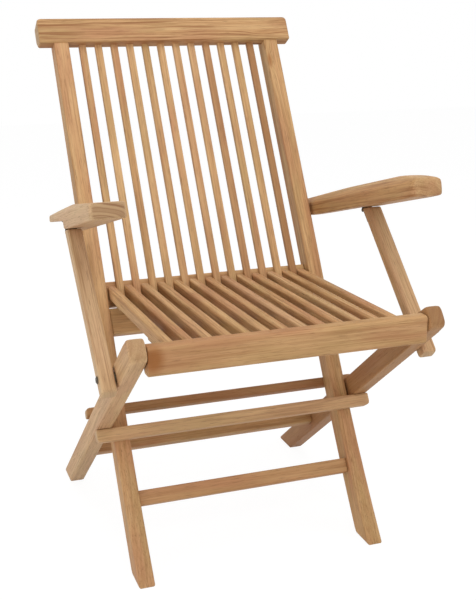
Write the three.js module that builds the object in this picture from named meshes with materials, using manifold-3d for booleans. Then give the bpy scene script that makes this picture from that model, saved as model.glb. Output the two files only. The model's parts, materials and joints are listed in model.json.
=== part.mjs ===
// A folding teak armchair: a slatted back on two stiles, crossed by a pair of legs that carry the seat's
// front rail.
// Millimetres, +Z up. The sitter faces -Y, and X runs across the chair.
import * as THREE from "three";
import Module from "manifold-3d";
import { mergeVertices } from "three/addons/utils/BufferGeometryUtils.js";

const wasm = await Module();
wasm.setup();

// Fits
const SEAT_GAP = 0.3; // between pieces that are glued, screwed or resting together
const HOLE_CLEARANCE = 0.1; // radial, where a bolt turns in wood

// Widths across the chair, as distances from the middle
const STILE_INNER = 196.8;
const STILE_WIDTH = 28;
const LEG_SPACE = 3; // washer between stile and leg
const LEG_WIDTH = 28;
const POST_SPACE = 3; // washer between leg and arm post
const POST_WIDTH = 24;
const ARM_INNER = 231;
const ARM_WIDTH = 55;
const STILE_OUTER = STILE_INNER + STILE_WIDTH;
const LEG_INNER = STILE_OUTER + LEG_SPACE;
const LEG_OUTER = LEG_INNER + LEG_WIDTH;
const POST_INNER = LEG_OUTER + POST_SPACE;
const POST_OUTER = POST_INNER + POST_WIDTH;
const ARM_OUTER = ARM_INNER + ARM_WIDTH;

// Side view of the back stiles: y grows to the rear from the front of the foot
const TOP_LINE = 898.2; // where the top rail's top meets the line of the stiles' front
const BACK_LEAN = THREE.MathUtils.degToRad(30.26);
const BEND_HEIGHT = 300;
const BEND_REACH = 204; // the stile's front edge at the bend
const STILE_DEPTH = 35;
const STILE_COVER = 6; // wood left over the bolts' blind holes
const FOOT_DEPTH = 58; // along the floor
const FOOT_HEEL = 7; // chamfer at the back of each foot

// The crossed legs
const LEG_LEAN = THREE.MathUtils.degToRad(51.34);
const LEG_DEPTH = 38;
const LEG_LENGTH = 707; // along its lower face
const LEG_FOOT_REACH = 435; // the lower face at the floor
const LEG_ROUND = 9; // at the foot
const LEG_TOP_ROUND = 11;
const LEG_COVER = 8; // wood left over the bolts' blind holes

// Boards across the back
const TOP_RAIL_LENGTH = 504;
const TOP_RAIL_HEIGHT = 55;
const TOP_RAIL_DEPTH = 36;
const TOP_RAIL_AHEAD = 3.5; // ahead of the stiles' front faces
const TOP_RAIL_ROUND = 9;
const BACK_SLAT_COUNT = 12;
const BACK_SLAT_WIDTH = 13.4;
const BACK_SLAT_DEPTH = 9;
const BACK_SLAT_END_SPACE = 20.7; // from the outermost slats to the stiles
const BACK_SLAT_SET_BACK = 9.2;
const LOWER_RAIL_RISE = 4; // its top, over the seat slats' top
const LOWER_RAIL_HEIGHT = 46;
const LOWER_RAIL_DEPTH = 17;
const SLAT_FOOT_SHARE = 0.85; // of the lower rail that each back slat covers
const SUPPORT_HEIGHT = 48;
const SUPPORT_DEPTH = 22;
const SUPPORT_SET_BACK = 4.5;
const STRETCHER_TOP = 132;
const STRETCHER_HEIGHT = 26;
const STRETCHER_DEPTH = 18;
const STRETCHER_SET_BACK = 8;

// The two stop bars that the legs close against
const FRONT_STOP_LENGTH = 514;
const FRONT_STOP_BELOW = 24; // its foot, below the crossing bolts, on the stiles' front
const FRONT_STOP_DEPTH = 19;
const REAR_STOP_LENGTH = 518;
const REAR_STOP_ABOVE = 36; // its top, above the crossing bolts, on the line of the stiles' front
const REAR_STOP_DEPTH = 18;
const STOP_BLANK = 40; // height before the face that meets the legs is planed
const STOP_ROUND = 8;

// The stretcher between the legs' feet
const LEG_STRETCHER_UP = 136; // from the foot, along the leg
const LEG_STRETCHER_HEIGHT = 24;
const LEG_STRETCHER_DEPTH = 20;
const LEG_STRETCHER_INSET = 13; // from the leg's lower face

// The seat
const SEAT_SLAT_COUNT = 13;
const SEAT_SLAT_WIDTH = 15.6;
const SEAT_SLAT_DEPTH = 22;
const SEAT_SLOPE = THREE.MathUtils.degToRad(1.7);
const SEAT_DROP = 5; // from the rail's top to the slats' top
const SEAT_RAIL_AHEAD = 15; // its front face, ahead of the seat bolts
const SEAT_RAIL_RISE = 18; // its top, over the seat bolts
const SEAT_RAIL_DEPTH = 25;
const SEAT_RAIL_HEIGHT = 46;
const SEAT_RAIL_ROUND = 7;
const SEAT_RAIL_END_SPACE = 1; // to each leg
const SEAT_END_SET_BACK = 15.5; // of the slats' rear ends behind the stiles' front
const BATTEN_LENGTH = 384;
const BATTEN_WIDTH = 34;
const BATTEN_DEPTH = 11;
const REAR_BATTEN_FROM_END = 33.4; // its middle, ahead of the slats' rear ends
const FRONT_BATTEN_AT = 120; // its middle, behind the rail

// The arms, measured along their flat underside from the front end
const ARM_SLOPE = THREE.MathUtils.degToRad(14.5);
const ARM_LENGTH = 476;
const ARM_EDGE = 24; // thickness at the long edges
const ARM_CREST = 41; // thickness along the middle
const ARM_NOSE = 28; // thickness at the front end
const ARM_NOSE_LENGTH = 105; // over which it rises to the crest
const NOSE_FULL_SHARE = 0.45; // of that length, where the curve's control point lies
const ARM_TAPER_FROM = 260; // where the plan begins to narrow
const ARM_TAIL_RISE_LENGTH = 68; // over which the underside rises at the tail
const ARM_TAIL_WIDTH = 38;
const ARM_TAIL_FOOT = 22; // height of the tail's lower edge
const ARM_TAIL_TOP = 34;
const ARM_CORNER = 12;
const TAIL_CORNER = 8;

// The rebate under each arm's outer edge, from the post's head to the tail, which thins what is seen of it
const REBATE_AHEAD = 15; // of the hinge's knuckle
const REBATE_CURVE = 14; // length of its curved start
const REBATE_HEIGHT = 14.5; // after the curve
const REBATE_END_HEIGHT = 26; // at the tail
const REBATE_BESIDE_POST = 1; // nearer the middle than the post's inner face
const RIB_TAPER_LENGTH = 106; // of the wood left beside it, at the tail
const RIB_END_WIDTH = 9;

// The arm posts
const POST_LEAN = THREE.MathUtils.degToRad(46.6);
const POST_DEPTH = 24;
const POST_ROUND = 8;
const POST_BELOW_BOLT = 28;
const POST_HEAD_GAP = 1; // under the arm

// Where the bolts go in the pieces that carry them
const SEAT_BOLT_BELOW_TOP = 23.43; // along the leg, from its upper end
const SEAT_BOLT_OVER = 14.05; // from the leg's lower face
const POST_BOLT_BELOW_TOP = 113.38;
const POST_BOLT_OVER = 16.86;
const CROSSING_OVER = 19.52; // from the leg's lower face
const CROSSING_BEHIND = 16.12; // the stile's front face
const ARM_BOLT_RISE = 114.38; // along the stile's front, from the level of the slats' top
const ARM_BOLT_BEHIND = 23.45; // the stile's front face
const ARM_BOLT_FROM_TAIL = 59.52; // along the arm
const ARM_BOLT_OVER = 11.13; // the arm's underside
const ARM_BOLT_DEPTH = 14; // of its blind hole in the arm
const BOLT_RADIUS = 4;
const BOLT_HEAD_RADIUS = 6;
const BOLT_HEAD_HEIGHT = 2.4;
const BOLT_HEAD_EDGE = 1; // upright part of the domed head
const BOLT_SHORT_OF = 2; // from the end of its blind hole
const WASHER_RADIUS = 9;
const HINGE_DEPTH_IN_RAIL = 30;
const BOLT_SIDES = 24;

// The steel hinge between each arm and its post, behind the post's head
const KNUCKLE_RADIUS = 3.5;
const KNUCKLE_SPACE = 0.6; // to the post and to the arm
const LEAF_WIDTH = 20;
const LEAF_LENGTH = 24;
const LEAF_THICKNESS = 1.6;

const FAR = 2000; // beyond every piece, for cutting planes
const OVERCUT = 1; // a cut runs past the face that it opens
const FINE = 0.001; // near enough
const STEP = 1; // between two heights whose line gives a piece's direction
const CORNER_STEPS = 6; // straight stretches in a rounded corner
const CROWN_STEPS = 10;

const STEEL_ROUGHNESS = 0.4;
const WOOD_ROUGHNESS = 0.7;
const STEEL = 0x5a5c5e;
const woods = {
  stile: 0xc79461,
  slat: 0xc48d59,
  rail: 0xcb9a68,
  leg: 0xc08a57,
  arm: 0xc99560,
};

// A place in the side view: y to the rear, z up.
function point(y, z) {
  return new THREE.Vector2(y, z);
}

// Boolean helpers
function solid(geometry) {
  const bare = new THREE.BufferGeometry().setAttribute("position", geometry.getAttribute("position"));
  if (geometry.index) bare.setIndex(geometry.index);
  const merged = mergeVertices(bare, FINE);
  return new wasm.Manifold(
    new wasm.Mesh({
      numProp: 3,
      vertProperties: new Float32Array(merged.attributes.position.array),
      triVerts: new Uint32Array(merged.index.array),
    }),
  );
}

function cut(body, ...tools) {
  return tools.reduce((left, tool) => left.subtract(tool), body);
}

function common(body, ...others) {
  return others.reduce((left, other) => left.intersect(other), body);
}

function meshOf(name, body, colour, metalness = 0) {
  const { vertProperties, triVerts } = body.getMesh();
  const geometry = new THREE.BufferGeometry();
  geometry.setAttribute("position", new THREE.BufferAttribute(vertProperties, 3));
  geometry.setIndex(new THREE.BufferAttribute(triVerts, 1));
  const material = new THREE.MeshStandardMaterial({
    color: colour,
    metalness,
    roughness: metalness ? STEEL_ROUGHNESS : WOOD_ROUGHNESS,
    flatShading: true,
  });
  const mesh = new THREE.Mesh(geometry, material);
  mesh.name = name;
  return mesh;
}

// Prisms: an outline pushed along one axis
function shapeOf(points) {
  return new THREE.Shape(points.map((p) => new THREE.Vector2(p.x, p.y)));
}

// Side-view outline (y, z) from x0 to x1.
function acrossX(shape, x0, x1) {
  const geometry = new THREE.ExtrudeGeometry(shape, {
    depth: x1 - x0,
    bevelEnabled: false,
    curveSegments: CORNER_STEPS,
  });
  const axes = new THREE.Matrix4().makeBasis(
    new THREE.Vector3(0, 1, 0),
    new THREE.Vector3(0, 0, 1),
    new THREE.Vector3(1, 0, 0),
  );
  return solid(geometry.applyMatrix4(axes).translate(x0, 0, 0));
}

// The same, standing on one side of the chair: side is 1 on the right and -1 on the left.
function onSide(side, shape, inner, outer) {
  return side > 0 ? acrossX(shape, inner, outer) : acrossX(shape, -outer, -inner);
}

// Rectangle with its upper corners, and where asked its lower ones, rounded. The middle of its foot is at the
// origin.
function roundedBoard(width, height, round, lower = 0) {
  const half = width / 2;
  const shape = new THREE.Shape();
  shape.moveTo(-half + lower, 0);
  shape.lineTo(half - lower, 0);
  if (lower) shape.quadraticCurveTo(half, 0, half, lower);
  shape.lineTo(half, height - round);
  if (round) shape.quadraticCurveTo(half, height, half - round, height);
  shape.lineTo(-half + round, height);
  if (round) shape.quadraticCurveTo(-half, height, -half, height - round);
  shape.lineTo(-half, lower);
  if (lower) shape.quadraticCurveTo(-half, 0, -half + lower, 0);
  return shape;
}

// Directions in the side view
const UP_BACK = direction(BACK_LEAN);
const BEHIND_BACK = quarterTurn(UP_BACK);
const DOWN_LEG = point(Math.sin(LEG_LEAN), -Math.cos(LEG_LEAN));
const OVER_LEG = point(Math.cos(LEG_LEAN), Math.sin(LEG_LEAN));
const UP_POST = direction(POST_LEAN);
const BEHIND_POST = quarterTurn(UP_POST);
const ALONG_ARM = point(Math.cos(ARM_SLOPE), -Math.sin(ARM_SLOPE));
const OVER_ARM = point(Math.sin(ARM_SLOPE), Math.cos(ARM_SLOPE));
const ALONG_SEAT = point(Math.cos(SEAT_SLOPE), -Math.sin(SEAT_SLOPE));
const OVER_SEAT = point(Math.sin(SEAT_SLOPE), Math.cos(SEAT_SLOPE));
const LEG_START = point(LEG_FOOT_REACH, 0);

// Upwards, leaning to the rear.
function direction(lean) {
  return point(Math.sin(lean), Math.cos(lean));
}

// Square to an upward direction, to the rear.
function quarterTurn(up) {
  return point(up.y, -up.x);
}

function moved(from, along, distance, across = along, offset = 0) {
  return from.clone().addScaledVector(along, distance).addScaledVector(across, offset);
}

// The spacing of the slats, shared by the back and the seat
const SLAT_SPAN = 2 * (STILE_INNER - BACK_SLAT_END_SPACE) - BACK_SLAT_WIDTH;
const SLAT_PITCH = SLAT_SPAN / (BACK_SLAT_COUNT - 1);

// The stile's front edge: straight above the bend, a parabola down to the foot below it.
const KNEE_REACH = BEND_REACH - (BEND_HEIGHT / 2) * Math.tan(BACK_LEAN);

function stileFront(z) {
  if (z >= BEND_HEIGHT) return point(BEND_REACH + (z - BEND_HEIGHT) * Math.tan(BACK_LEAN), z);
  const up = z / BEND_HEIGHT;
  return point(up * up * BEND_REACH + 2 * up * (1 - up) * KNEE_REACH, z);
}

function stileUp(z) {
  return stileFront(z + STEP).sub(stileFront(z)).normalize();
}

// A point on the leg: distance up from the foot, and over from the lower face.
function onLeg(up, over) {
  return moved(LEG_START, DOWN_LEG, -up, OVER_LEG, over);
}

// Where the bolts' line along the leg meets their line along the stile. The leg's length is halved again and
// again until the two are found.
function crossing() {
  let low = 0;
  let high = LEG_LENGTH;
  while (high - low > FINE) {
    const middle = (low + high) / 2;
    const at = onLeg(middle, CROSSING_OVER);
    const behind = at.clone().sub(stileFront(at.y)).dot(quarterTurn(stileUp(at.y)));
    if (behind > CROSSING_BEHIND) low = middle;
    else high = middle;
  }
  return onLeg(high, CROSSING_OVER);
}

const BATTEN_TOP = -SEAT_SLAT_DEPTH - SEAT_GAP; // below the slats' top

// Where the bolts are: distance to the rear, then height
const CROSSING = crossing();
const SEAT_HINGE = onLeg(LEG_LENGTH - SEAT_BOLT_BELOW_TOP, SEAT_BOLT_OVER);
const POST_FOOT = onLeg(LEG_LENGTH - POST_BOLT_BELOW_TOP, POST_BOLT_OVER);
const SEAT_RAIL_FRONT = SEAT_HINGE.x - SEAT_RAIL_AHEAD;
const SEAT_RAIL_TOP = SEAT_HINGE.y + SEAT_RAIL_RISE;
const SEAT_TOP = SEAT_RAIL_TOP - SEAT_DROP;
const LOWER_RAIL_TOP = SEAT_TOP + LOWER_RAIL_RISE;
const ARM_HINGE = moved(stileFront(SEAT_TOP), UP_BACK, ARM_BOLT_RISE, BEHIND_BACK, ARM_BOLT_BEHIND);
const ARM_START = moved(ARM_HINGE, ALONG_ARM, ARM_BOLT_FROM_TAIL - ARM_LENGTH, OVER_ARM, -ARM_BOLT_OVER);

// Everything on the left of the line from a towards b in the side view.
function halfSpace(a, b) {
  const along = b.clone().sub(a).normalize();
  const left = point(-along.y, along.x);
  const start = moved(a, along, -FAR);
  const end = moved(a, along, FAR);
  const outline = [start, end, moved(end, left, FAR), moved(start, left, FAR)];
  return acrossX(shapeOf(outline), -FAR, FAR);
}

// Lathe profile of [radius, distance] pairs, turned about a line across the chair.
// Side picks the outward end.
function turned(profile, at, side) {
  const geometry = new THREE.LatheGeometry(
    profile.map(([radius, distance]) => new THREE.Vector2(radius, distance)),
    BOLT_SIDES,
  );
  geometry.rotateZ((-side * Math.PI) / 2);
  return solid(geometry.translate(0, at.x, at.y));
}

function rod(radius, at, side, inner, outer) {
  return turned([[0, inner], [radius, inner], [radius, outer], [0, outer]], at, side);
}

function hole(at, side, inner, outer) {
  return rod(BOLT_RADIUS + HOLE_CLEARANCE, at, side, inner - OVERCUT, outer + OVERCUT);
}

// A bolt's hole that stops inside the wood; open is the face where it starts.
function blindHole(at, side, open, end) {
  const [inner, outer] = open < end ? [open - OVERCUT, end] : [end, open + OVERCUT];
  return rod(BOLT_RADIUS + HOLE_CLEARANCE, at, side, inner, outer);
}

// Front outline of a board that runs across the chair, laid on the section's own lean.
function roundedEnds(length, height, round, foot, up, depth) {
  const behind = quarterTurn(up);
  const geometry = new THREE.ExtrudeGeometry(roundedBoard(length, height, round), {
    depth,
    bevelEnabled: false,
    curveSegments: CORNER_STEPS,
  });
  const axes = new THREE.Matrix4().makeBasis(
    new THREE.Vector3(-1, 0, 0),
    new THREE.Vector3(0, up.x, up.y),
    new THREE.Vector3(0, behind.x, behind.y),
  );
  return solid(geometry.applyMatrix4(axes).translate(0, foot.x, foot.y));
}

// The back frame's pieces

function stile(side) {
  const shoulder = moved(stileFront(TOP_LINE), UP_BACK, -TOP_RAIL_HEIGHT - SEAT_GAP);
  const bend = stileFront(BEND_HEIGHT);
  const knee = point(KNEE_REACH, BEND_HEIGHT / 2);
  const [shoulderBehind, kneeBehind, bendBehind] = [shoulder, knee, bend].map((p) =>
    moved(p, BEHIND_BACK, STILE_DEPTH),
  );
  const shape = new THREE.Shape();
  shape.moveTo(shoulder.x, shoulder.y);
  shape.lineTo(bend.x, bend.y);
  shape.quadraticCurveTo(knee.x, knee.y, 0, 0);
  shape.lineTo(FOOT_DEPTH - FOOT_HEEL, 0);
  shape.lineTo(FOOT_DEPTH, FOOT_HEEL);
  shape.quadraticCurveTo(kneeBehind.x, kneeBehind.y, bendBehind.x, bendBehind.y);
  shape.lineTo(shoulderBehind.x, shoulderBehind.y);
  return cut(
    onSide(side, shape, STILE_INNER, STILE_OUTER),
    ...[CROSSING, ARM_HINGE].map((at) => blindHole(at, side, STILE_OUTER, STILE_INNER + STILE_COVER)),
  );
}

function topRail() {
  const foot = moved(stileFront(TOP_LINE), UP_BACK, -TOP_RAIL_HEIGHT, BEHIND_BACK, -TOP_RAIL_AHEAD);
  return roundedEnds(TOP_RAIL_LENGTH, TOP_RAIL_HEIGHT, TOP_RAIL_ROUND, foot, UP_BACK, TOP_RAIL_DEPTH);
}

function backSlat(index) {
  const middle = (index - (BACK_SLAT_COUNT - 1) / 2) * SLAT_PITCH;
  const head = moved(
    stileFront(TOP_LINE),
    UP_BACK,
    -TOP_RAIL_HEIGHT - SEAT_GAP,
    BEHIND_BACK,
    BACK_SLAT_SET_BACK,
  );
  const foot = moved(
    stileFront(LOWER_RAIL_TOP),
    UP_BACK,
    -LOWER_RAIL_HEIGHT * SLAT_FOOT_SHARE,
    BEHIND_BACK,
    BACK_SLAT_SET_BACK,
  );
  const section = [head, foot, ...[foot, head].map((p) => moved(p, BEHIND_BACK, BACK_SLAT_DEPTH))];
  return acrossX(shapeOf(section), middle - BACK_SLAT_WIDTH / 2, middle + BACK_SLAT_WIDTH / 2);
}

// A board let in between the stiles; topLine is where its top meets the stiles' front edge.
function betweenStiles(topLine, height, depth, setBack) {
  const up = stileUp(topLine);
  const behind = quarterTurn(up);
  const top = moved(stileFront(topLine), behind, setBack);
  const foot = moved(top, up, -height);
  const section = [top, foot, ...[foot, top].map((p) => moved(p, behind, depth))];
  const reach = STILE_INNER - SEAT_GAP;
  return acrossX(shapeOf(section), -reach, reach);
}

function lowerBackRail() {
  const setBack = BACK_SLAT_SET_BACK + BACK_SLAT_DEPTH + SEAT_GAP;
  return betweenStiles(LOWER_RAIL_TOP, LOWER_RAIL_HEIGHT, LOWER_RAIL_DEPTH, setBack);
}

// Its upper front edge carries the rear batten.
function seatSupport() {
  const edge = moved(stileFront(SEAT_TOP), BEHIND_BACK, SUPPORT_SET_BACK);
  const clear = onSeat(0, BATTEN_TOP - BATTEN_DEPTH - SEAT_GAP).sub(edge).dot(OVER_SEAT);
  const top = SEAT_TOP + (clear * UP_BACK.y) / UP_BACK.dot(OVER_SEAT);
  return betweenStiles(top, SUPPORT_HEIGHT, SUPPORT_DEPTH, SUPPORT_SET_BACK);
}

function lowerStretcher() {
  return betweenStiles(STRETCHER_TOP, STRETCHER_HEIGHT, STRETCHER_DEPTH, STRETCHER_SET_BACK);
}

// The bar on the stiles' front faces, planed along the legs' lower faces, which rest on it when the chair
// stands.
function frontStop() {
  const height = CROSSING.y - FRONT_STOP_BELOW;
  const up = stileUp(height);
  const ahead = -FRONT_STOP_DEPTH - SEAT_GAP;
  const foot = moved(stileFront(height), quarterTurn(up), ahead);
  const blank = upsideDown(FRONT_STOP_LENGTH, STOP_BLANK, STOP_ROUND, foot, up, FRONT_STOP_DEPTH);
  return common(blank, halfSpace(onLeg(0, -SEAT_GAP), onLeg(LEG_LENGTH, -SEAT_GAP)));
}

// The bar on the stiles' rear faces, planed along the legs' upper faces.
function rearStop() {
  const height = CROSSING.y + REAR_STOP_ABOVE;
  const up = stileUp(height);
  const behind = quarterTurn(up);
  const top = moved(stileFront(height), behind, STILE_DEPTH + SEAT_GAP);
  const foot = moved(top, up, -STOP_BLANK);
  const blank = roundedEnds(REAR_STOP_LENGTH, STOP_BLANK, STOP_ROUND, foot, up, REAR_STOP_DEPTH);
  const over = LEG_DEPTH + SEAT_GAP;
  return common(blank, halfSpace(onLeg(LEG_LENGTH, over), onLeg(0, over)));
}

// A board like roundedEnds, with its lower corners rounded instead.
function upsideDown(length, height, round, foot, up, depth) {
  const behind = quarterTurn(up);
  const top = moved(foot, up, height, behind, depth);
  const down = up.clone().negate();
  return roundedEnds(length, height, round, top, down, depth);
}

// The leg frame's pieces

function leg(side) {
  const heel = LEG_FOOT_REACH + LEG_DEPTH / Math.cos(LEG_LEAN);
  const outline = new THREE.Shape();
  const to = (p) => outline.lineTo(p.x, p.y);
  const round = (corner, p) => outline.quadraticCurveTo(corner.x, corner.y, p.x, p.y);
  outline.moveTo(LEG_START.x, LEG_START.y);
  to(point(heel - LEG_ROUND, 0));
  round(point(heel, 0), moved(point(heel, 0), DOWN_LEG, -LEG_ROUND));
  to(onLeg(LEG_LENGTH - LEG_TOP_ROUND, LEG_DEPTH));
  round(onLeg(LEG_LENGTH, LEG_DEPTH), onLeg(LEG_LENGTH, LEG_DEPTH - LEG_TOP_ROUND));
  to(onLeg(LEG_LENGTH, LEG_TOP_ROUND));
  round(onLeg(LEG_LENGTH, 0), onLeg(LEG_LENGTH - LEG_TOP_ROUND, 0));
  const holes = [CROSSING, SEAT_HINGE].map((at) => blindHole(at, side, LEG_INNER, LEG_OUTER - LEG_COVER));
  return cut(onSide(side, outline, LEG_INNER, LEG_OUTER), ...holes);
}

function legStretcher() {
  const reach = LEG_INNER - SEAT_GAP;
  const [low, high] = [LEG_STRETCHER_UP, LEG_STRETCHER_UP + LEG_STRETCHER_HEIGHT];
  const [near, far] = [LEG_STRETCHER_INSET, LEG_STRETCHER_INSET + LEG_STRETCHER_DEPTH];
  const section = [onLeg(low, near), onLeg(low, far), onLeg(high, far), onLeg(high, near)];
  return acrossX(shapeOf(section), -reach, reach);
}

// The seat's pieces

function seatRail() {
  const reach = LEG_INNER - SEAT_RAIL_END_SPACE;
  const middle = SEAT_RAIL_FRONT + SEAT_RAIL_DEPTH / 2;
  const section = roundedBoard(SEAT_RAIL_DEPTH, SEAT_RAIL_HEIGHT, SEAT_RAIL_ROUND, SEAT_RAIL_ROUND);
  const rail = acrossX(section, -reach, reach).translate([0, middle, SEAT_RAIL_TOP - SEAT_RAIL_HEIGHT]);
  return cut(rail, ...[-1, 1].map((side) => blindHole(SEAT_HINGE, side, reach, reach - HINGE_DEPTH_IN_RAIL)));
}

// A point under or on the seat: distance behind the rail, and height over the slats' top.
function onSeat(behind, over) {
  const start = point(SEAT_RAIL_FRONT + SEAT_RAIL_DEPTH, SEAT_TOP);
  return moved(start, ALONG_SEAT, behind, OVER_SEAT, over);
}

// How far behind the rail a line at that height over the slats' top meets the cut of their rear ends.
function seatEnd(over) {
  const face = moved(stileFront(SEAT_TOP), BEHIND_BACK, SEAT_END_SET_BACK);
  const gap = face.sub(onSeat(0, over)).dot(BEHIND_BACK);
  return gap / ALONG_SEAT.dot(BEHIND_BACK);
}

function seatSlat(index) {
  const middle = (index - (SEAT_SLAT_COUNT - 1) / 2) * SLAT_PITCH;
  const under = -SEAT_SLAT_DEPTH;
  const uprightCut = SEAT_GAP + SEAT_SLAT_DEPTH * Math.tan(SEAT_SLOPE);
  const section = [
    onSeat(SEAT_GAP, 0),
    onSeat(uprightCut, under),
    onSeat(seatEnd(under), under),
    onSeat(seatEnd(0), 0),
  ];
  return acrossX(shapeOf(section), middle - SEAT_SLAT_WIDTH / 2, middle + SEAT_SLAT_WIDTH / 2);
}

function batten(at) {
  const [front, rear] = [at - BATTEN_WIDTH / 2, at + BATTEN_WIDTH / 2];
  const foot = BATTEN_TOP - BATTEN_DEPTH;
  const corners = [[front, BATTEN_TOP], [front, foot], [rear, foot], [rear, BATTEN_TOP]];
  const section = corners.map(([behind, over]) => onSeat(behind, over));
  return acrossX(shapeOf(section), -BATTEN_LENGTH / 2, BATTEN_LENGTH / 2);
}

// The arms: where a side outline, a plan and a crowned section meet, in the arm's own frame

// Carries x across, y along the underside and z over it into place.
function ontoArm(body) {
  const axes = new THREE.Matrix4().makeBasis(
    new THREE.Vector3(1, 0, 0),
    new THREE.Vector3(0, ALONG_ARM.x, ALONG_ARM.y),
    new THREE.Vector3(0, OVER_ARM.x, OVER_ARM.y),
  );
  axes.setPosition(0, ARM_START.x, ARM_START.y);
  return body.transform(axes.elements);
}

function armSide() {
  const shape = new THREE.Shape();
  shape.moveTo(0, 0);
  shape.lineTo(ARM_LENGTH - ARM_TAIL_RISE_LENGTH, 0);
  shape.lineTo(ARM_LENGTH, ARM_TAIL_FOOT);
  shape.lineTo(ARM_LENGTH, ARM_TAIL_TOP);
  shape.lineTo(ARM_TAPER_FROM, ARM_CREST);
  shape.lineTo(ARM_NOSE_LENGTH, ARM_CREST);
  shape.quadraticCurveTo(ARM_NOSE_LENGTH * NOSE_FULL_SHARE, ARM_CREST, 0, ARM_NOSE);
  return acrossX(shape, -FAR, FAR);
}

function armPlan(side) {
  const inner = side * ARM_INNER;
  const outer = side * ARM_OUTER;
  const tail = side * (ARM_INNER + ARM_TAIL_WIDTH);
  const taperMiddle = (ARM_TAPER_FROM + ARM_LENGTH) / 2;
  const shape = new THREE.Shape();
  shape.moveTo(inner, ARM_CORNER);
  shape.quadraticCurveTo(inner, 0, inner + side * ARM_CORNER, 0);
  shape.lineTo(outer - side * ARM_CORNER, 0);
  shape.quadraticCurveTo(outer, 0, outer, ARM_CORNER);
  shape.lineTo(outer, ARM_TAPER_FROM);
  shape.quadraticCurveTo(outer, taperMiddle, tail, ARM_LENGTH - TAIL_CORNER);
  shape.lineTo(tail - side * TAIL_CORNER, ARM_LENGTH);
  shape.lineTo(inner + side * TAIL_CORNER, ARM_LENGTH);
  shape.lineTo(inner, ARM_LENGTH - TAIL_CORNER);
  return upwards(shape);
}

// An outline seen from above, pushed through the arm's whole thickness.
function upwards(shape) {
  const geometry = new THREE.ExtrudeGeometry(shape, {
    depth: 2 * ARM_CREST,
    bevelEnabled: false,
    curveSegments: CORNER_STEPS,
  });
  return solid(geometry.translate(0, 0, -ARM_CREST / 2));
}

// Flat below and crowned above, pushed along the arm.
function armCrown(side) {
  const rise = 2 * (ARM_CREST - ARM_EDGE);
  const shape = new THREE.Shape();
  shape.moveTo(side * ARM_INNER, -OVERCUT);
  shape.lineTo(side * ARM_OUTER, -OVERCUT);
  shape.lineTo(side * ARM_OUTER, ARM_EDGE);
  const middle = (ARM_INNER + ARM_OUTER) / 2;
  shape.quadraticCurveTo(side * middle, ARM_EDGE + rise, side * ARM_INNER, ARM_EDGE);
  const geometry = new THREE.ExtrudeGeometry(shape, {
    depth: ARM_LENGTH + 2 * OVERCUT,
    bevelEnabled: false,
    curveSegments: CROWN_STEPS,
  });
  geometry.rotateX(Math.PI / 2);
  return solid(geometry.translate(0, ARM_LENGTH + OVERCUT, 0));
}

// What the rebate takes away under the arm, out to its outer edge.
function armRebate(side) {
  const from = knuckle().along - REBATE_AHEAD;
  const shape = new THREE.Shape();
  shape.moveTo(from, -OVERCUT);
  shape.lineTo(from, 0);
  shape.quadraticCurveTo(from, REBATE_HEIGHT, from + REBATE_CURVE, REBATE_HEIGHT);
  shape.lineTo(ARM_LENGTH + OVERCUT, REBATE_END_HEIGHT);
  shape.lineTo(ARM_LENGTH + OVERCUT, -OVERCUT);
  return common(onSide(side, shape, ARM_INNER, ARM_OUTER + OVERCUT), rebatePlan(side));
}

// The rebate from above. The rib beside it gets thinner towards the tail.
function rebatePlan(side) {
  const inner = side * (POST_INNER - REBATE_BESIDE_POST);
  const end = side * (ARM_INNER + RIB_END_WIDTH);
  const outer = side * (ARM_OUTER + OVERCUT);
  const corners = [
    point(inner, 0),
    point(inner, ARM_LENGTH - RIB_TAPER_LENGTH),
    point(end, ARM_LENGTH),
    point(end, ARM_LENGTH + OVERCUT),
    point(outer, ARM_LENGTH + OVERCUT),
    point(outer, 0),
  ];
  return upwards(shapeOf(corners));
}

// How high the rebate is at a distance along the arm, behind its curved start.
function rebateHeight(along) {
  const start = knuckle().along - REBATE_AHEAD + REBATE_CURVE;
  const share = (along - start) / (ARM_LENGTH + OVERCUT - start);
  return REBATE_HEIGHT + share * (REBATE_END_HEIGHT - REBATE_HEIGHT);
}

function arm(side) {
  const blank = cut(common(armSide(), armPlan(side), armCrown(side)), armRebate(side));
  return cut(ontoArm(blank), blindHole(ARM_HINGE, side, ARM_INNER, ARM_INNER + ARM_BOLT_DEPTH));
}

// A point on the post: distance up from its foot bolt, and behind its middle.
function onPost(up, behind) {
  return moved(POST_FOOT, UP_POST, up, BEHIND_POST, behind);
}

function armUnderside(along, below) {
  return moved(ARM_START, ALONG_ARM, along, OVER_ARM, -below);
}

function armPost(side) {
  const half = POST_DEPTH / 2;
  const foot = -POST_BELOW_BOLT;
  const outline = new THREE.Shape();
  const to = (p) => outline.lineTo(p.x, p.y);
  const round = (corner, p) => outline.quadraticCurveTo(corner.x, corner.y, p.x, p.y);
  const start = onPost(ARM_LENGTH, half);
  outline.moveTo(start.x, start.y);
  to(onPost(foot + POST_ROUND, half));
  round(onPost(foot, half), onPost(foot, half - POST_ROUND));
  to(onPost(foot, POST_ROUND - half));
  round(onPost(foot, -half), onPost(foot + POST_ROUND, -half));
  to(onPost(ARM_LENGTH, -half));
  const under = halfSpace(armUnderside(ARM_LENGTH, POST_HEAD_GAP), armUnderside(0, POST_HEAD_GAP));
  return cut(
    common(onSide(side, outline, POST_INNER, POST_OUTER), under),
    hole(POST_FOOT, side, POST_INNER, POST_OUTER),
  );
}

// The hinge's knuckle lies behind the post's rear face and under the arm.
function knuckle() {
  const space = KNUCKLE_RADIUS + KNUCKLE_SPACE;
  const behind = POST_DEPTH / 2 + space;
  const drop = armUnderside(0, space).sub(onPost(0, behind)).dot(OVER_ARM);
  const up = drop / UP_POST.dot(OVER_ARM);
  return { at: onPost(up, behind), up, along: onPost(up, behind).sub(ARM_START).dot(ALONG_ARM) };
}

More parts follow.
